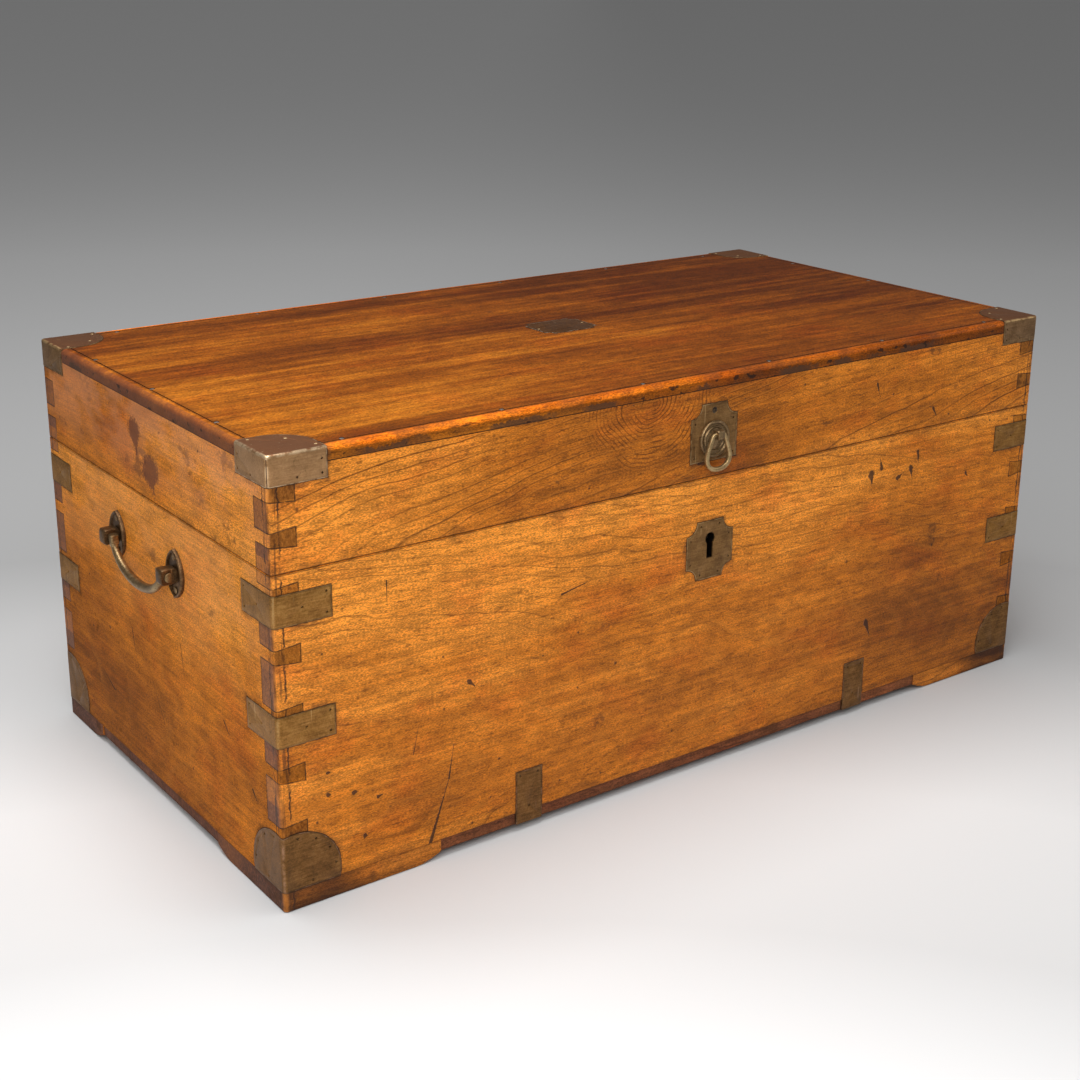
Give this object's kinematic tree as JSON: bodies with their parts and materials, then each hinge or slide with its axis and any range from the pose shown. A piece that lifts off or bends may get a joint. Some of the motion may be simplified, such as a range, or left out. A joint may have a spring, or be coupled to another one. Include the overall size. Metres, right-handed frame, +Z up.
{
  "type": "camphor wood chest",
  "caption": "Dovetailed camphor wood travelling chest with inlaid brass corners and straps, a hinged lid with a pull ring, a box lock, bracket feet and hanging bail handles.",
  "frame": {"origin": "middle of the chest's footprint, on the floor that its feet stand on", "axes": "+X along the front to the right as the front is looked at, +Y from the front with the lock to the back with the hinges, +Z up"},
  "size_m": [1.038, 0.5431, 0.4365],
  "materials": {
    "case_boards": "camphor wood under old worn polish, warm orange-brown with fine wavy figure and dark stains",
    "lid_boards": "camphor wood under old worn polish, red-brown with lengthwise streaks",
    "base_boards": "camphor wood, darker and duller, with worn rounded toes",
    "sheet_brass": "sheet brass under olive-brown patina, rubbed bright along edges and folds",
    "cast_brass": "cast brass, dark in the hollows and polished by handling",
    "hinge_brass": "plain brass with a thin brown tarnish",
    "tack_brass": "small brass tacks with rubbed bright heads",
    "iron": "dark oxidised iron with a little rust",
    "lock_iron": "filed steel, dulled by age"
  },
  "bodies": {
    "case": {"front_board": "case_boards", "back_board": "case_boards", "left_end_board": "case_boards", "right_end_board": "case_boards", "bottom_board_front": "base_boards", "bottom_board_middle": "base_boards", "bottom_board_back": "base_boards", "foot_front_left": "base_boards", "foot_front_right": "base_boards", "foot_back_left": "base_boards", "foot_back_right": "base_boards", "straps_front_left": "sheet_brass", "straps_front_right": "sheet_brass", "straps_back_left": "sheet_brass", "straps_back_right": "sheet_brass", "base_corner_front_left": "sheet_brass", "base_corner_front_right": "sheet_brass", "base_corner_back_left": "sheet_brass", "base_corner_back_right": "sheet_brass", "base_straps": "sheet_brass", "keyhole_plate": "sheet_brass", "left_handle_plate_front": "cast_brass", "left_handle_plate_back": "cast_brass", "right_handle_plate_front": "cast_brass", "right_handle_plate_back": "cast_brass", "hinge_lower_leaf_left": "hinge_brass", "hinge_lower_leaf_right": "hinge_brass", "case_tacks": "tack_brass", "handle_screws": "iron", "hinge_screws_lower": "iron", "hinge_pins": "iron", "lock_screws": "iron", "base_nails": "iron", "lock_plate": "lock_iron", "lock_case": "lock_iron", "lock_spring": "lock_iron"},
    "lid": {"lid_front_rail": "lid_boards", "lid_back_rail": "lid_boards", "lid_left_rail": "lid_boards", "lid_right_rail": "lid_boards", "lid_top": "lid_boards", "lid_corner_front_left": "sheet_brass", "lid_corner_front_right": "sheet_brass", "lid_corner_back_left": "sheet_brass", "lid_corner_back_right": "sheet_brass", "lid_plaque": "sheet_brass", "pull_plate": "sheet_brass", "pull_boss": "cast_brass", "pull_screw": "iron", "lock_link_plate": "lock_iron", "link_screws": "iron", "hinge_upper_leaf_left": "hinge_brass", "hinge_upper_leaf_right": "hinge_brass", "hinge_screws_upper": "iron", "lid_nails": "iron", "lid_tacks": "tack_brass"},
    "left_bail": {"left_bail": "cast_brass"},
    "right_bail": {"right_bail": "cast_brass"},
    "pull_ring": {"pull_ring": "cast_brass"},
    "lock_bolt": {"lock_bolt": "lock_iron"}
  },
  "joints": [
    {"name": "lid_hinge", "type": "hinge", "parent": "case", "child": "lid", "pos_m": [0, 0.2656, 0.3284], "axis": [-1, 0, 0], "range_deg": [0, 100]},
    {"name": "left_handle", "type": "hinge", "parent": "case", "child": "left_bail", "pos_m": [-0.511, 0.007, 0.27], "axis": [0, 1, 0], "range_deg": [0, 90]},
    {"name": "right_handle", "type": "hinge", "parent": "case", "child": "right_bail", "pos_m": [0.511, 0.007, 0.27], "axis": [0, -1, 0], "range_deg": [0, 90]},
    {"name": "pull_ring", "type": "hinge", "parent": "lid", "child": "pull_ring", "pos_m": [0, -0.2678, 0.375], "axis": [-1, 0, 0], "range_deg": [0, 170]},
    {"name": "lock_bolt", "type": "slide", "parent": "case", "child": "lock_bolt", "axis": [1, 0, 0], "range_m": [0, 0.008]}
  ]
}
